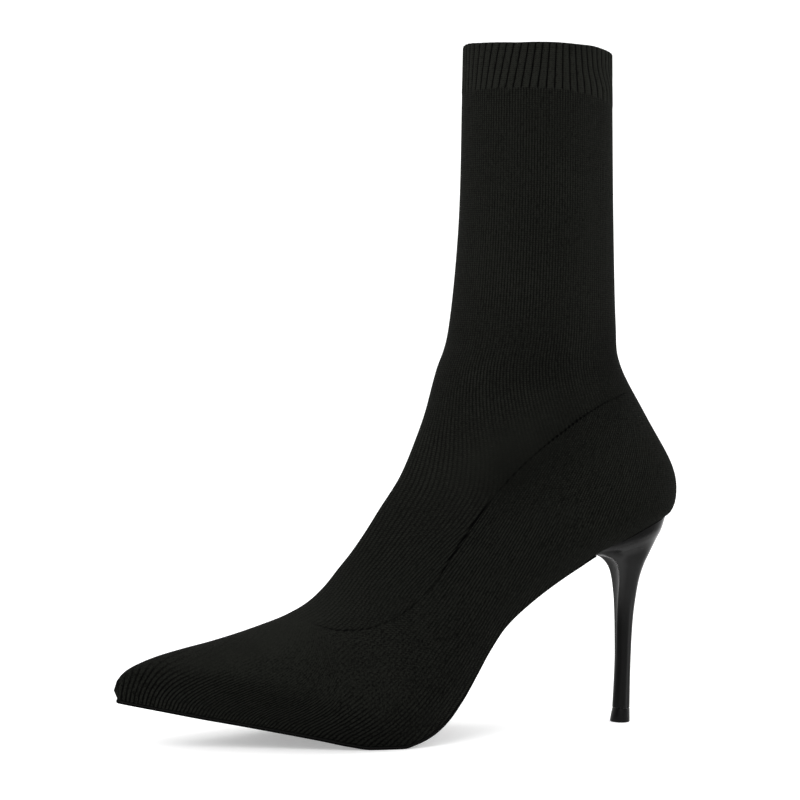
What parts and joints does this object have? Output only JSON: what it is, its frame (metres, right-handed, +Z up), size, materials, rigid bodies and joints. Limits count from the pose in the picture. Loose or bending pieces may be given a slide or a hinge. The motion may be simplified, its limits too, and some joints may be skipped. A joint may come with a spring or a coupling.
{
  "type": "sock boot",
  "caption": "Left women's knitted sock boot: pointed toe, tall elastic shaft with ribbed cuff, slim stiletto heel, thin sole.",
  "frame": {"origin": "on the floor under the middle of the heel's top piece", "axes": "+Z up along the shaft, +X towards the toe, +Y towards the outer side of the left foot"},
  "size_m": [0.2399, 0.081, 0.2848],
  "materials": {
    "black_knit": "fine dull rib knit",
    "black_insole": "smooth matt",
    "black_outsole": "satin",
    "gloss_black_heel": "polished lacquer",
    "black_top_piece": "matt"
  },
  "bodies": {
    "root": {"upper": "black_knit", "insole": "black_insole", "outsole": "black_outsole", "heel": "gloss_black_heel", "top_piece": "black_top_piece"}
  },
  "joints": []
}
